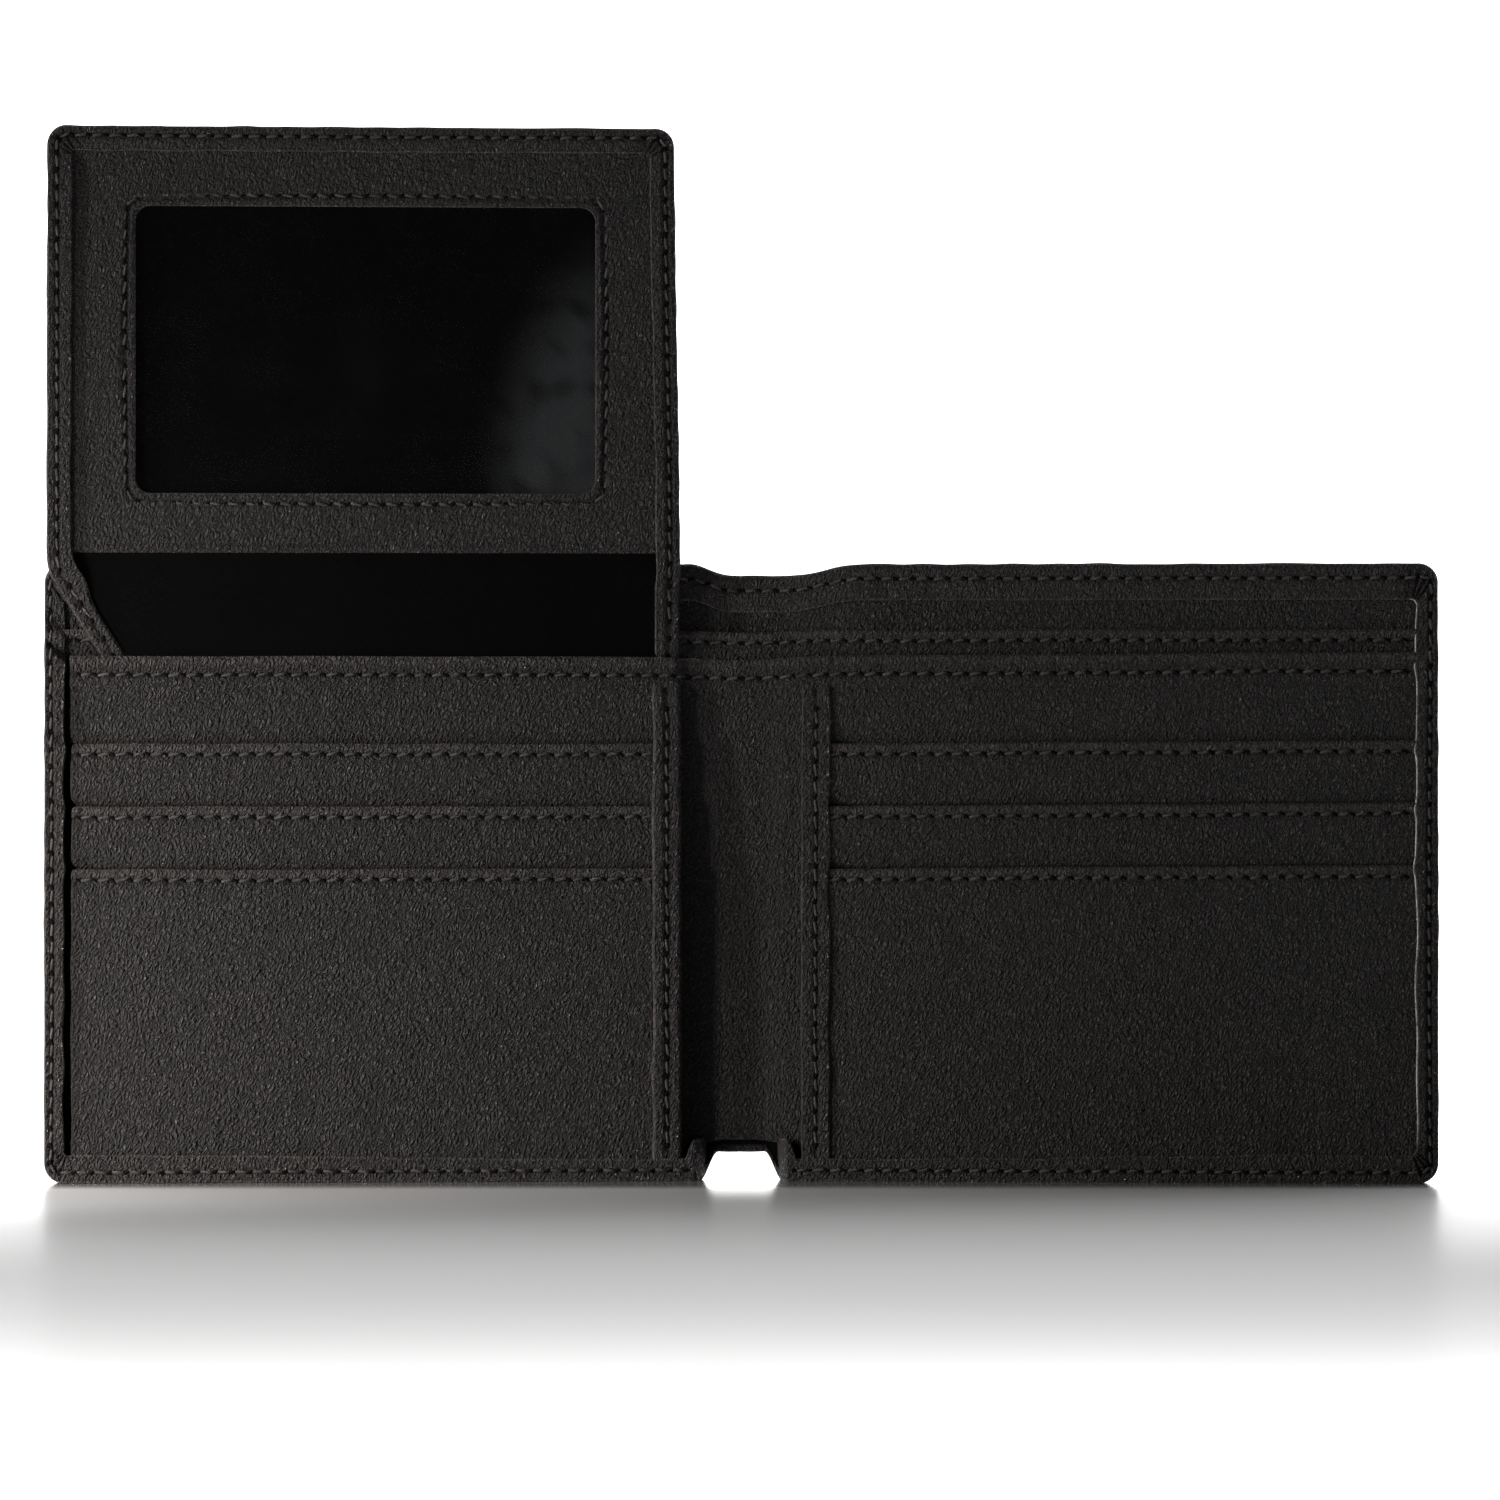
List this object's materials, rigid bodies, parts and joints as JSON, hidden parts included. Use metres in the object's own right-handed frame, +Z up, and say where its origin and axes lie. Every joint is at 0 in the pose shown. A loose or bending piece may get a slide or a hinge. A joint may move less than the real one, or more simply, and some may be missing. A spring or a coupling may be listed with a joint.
{
  "type": "trifold wallet",
  "caption": "Open leather wallet with stepped card slots on two folding leaves, divided note compartments and a flip-up window flap.",
  "frame": {"origin": "centre of the bounding box's base, on the surface that the open wallet stands on", "axes": "+X to the right across the open wallet, +Z up towards the flap, the card slots facing -Y"},
  "size_m": [0.2216, 0.0143, 0.1685],
  "materials": {
    "leather": "dark brown-black fine-grained leather, semi-matt",
    "lining": "black twill lining",
    "board": "grey-brown fibre board",
    "film": "clear glossy film",
    "thread": "black sewing thread"
  },
  "bodies": {
    "spine": {"cover_spine": "leather", "lining_spine": "lining", "facing_spine": "leather", "divider_spine": "lining", "divider_trim_spine": "leather", "front_lining_spine": "lining", "front_wall_spine": "leather", "hem_thread_spine": "thread"},
    "left_leaf": {"cover_left": "leather", "board_left": "board", "lining_left": "lining", "facing_left": "leather", "divider_left": "lining", "divider_trim_left": "leather", "divider_thread_left": "thread", "front_lining_left": "lining", "front_wall_left": "leather", "top_slot_lining_left": "lining", "top_slot_strip_left": "leather", "middle_slot_lining_left": "lining", "middle_slot_strip_left": "leather", "pocket_face_left": "leather", "binding_left": "leather", "border_thread_left": "thread", "slot_thread_left": "thread", "binding_thread_left": "thread", "flap_tab": "lining"},
    "right_leaf": {"cover_right": "leather", "board_right": "board", "lining_right": "lining", "facing_right": "leather", "divider_right": "lining", "divider_trim_right": "leather", "divider_thread_right": "thread", "front_lining_right": "lining", "front_wall_right": "leather", "top_slot_lining_right": "lining", "top_slot_strip_right": "leather", "middle_slot_lining_right": "lining", "middle_slot_strip_right": "leather", "pocket_face_right": "leather", "binding_right": "leather", "border_thread_right": "thread", "slot_thread_right": "thread", "binding_thread_right": "thread"},
    "web": {"flap_web": "lining", "web_strip_inner": "leather", "web_strip_outer": "leather"},
    "flap": {"flap_cover": "leather", "flap_board": "board", "flap_lining": "lining", "flap_window": "film", "flap_frame": "leather", "flap_border_thread": "thread", "flap_window_thread": "thread"}
  },
  "joints": [
    {"name": "left_fold", "type": "hinge", "parent": "spine", "child": "left_leaf", "pos_m": [-0.009, 0.00672, 0.049], "axis": [0, 0, 1], "range_deg": [-4, 86], "deforming": ["divider_spine", "divider_trim_spine", "front_lining_spine", "front_wall_spine", "hem_thread_spine"]},
    {"name": "right_fold", "type": "hinge", "parent": "spine", "child": "right_leaf", "pos_m": [0.009, 0.00672, 0.049], "axis": [0, 0, -1], "range_deg": [-4, 86], "deforming": ["divider_spine", "divider_trim_spine", "front_lining_spine", "front_wall_spine", "hem_thread_spine"]},
    {"name": "web_fold", "type": "hinge", "parent": "left_leaf", "child": "web", "pos_m": [-0.05569, 0.0007, 0.0851], "axis": [0.9976, 0.0698, 0], "range_deg": [0, 90]},
    {"name": "flap_fold", "type": "hinge", "parent": "web", "child": "flap", "pos_m": [-0.05569, 0.0007, 0.0925], "axis": [0.9976, 0.0698, 0], "range_deg": [0, 90]}
  ],
  "couplings": [
    {"joint": "web_fold", "follows": "flap_fold", "ratio": 1}
  ]
}
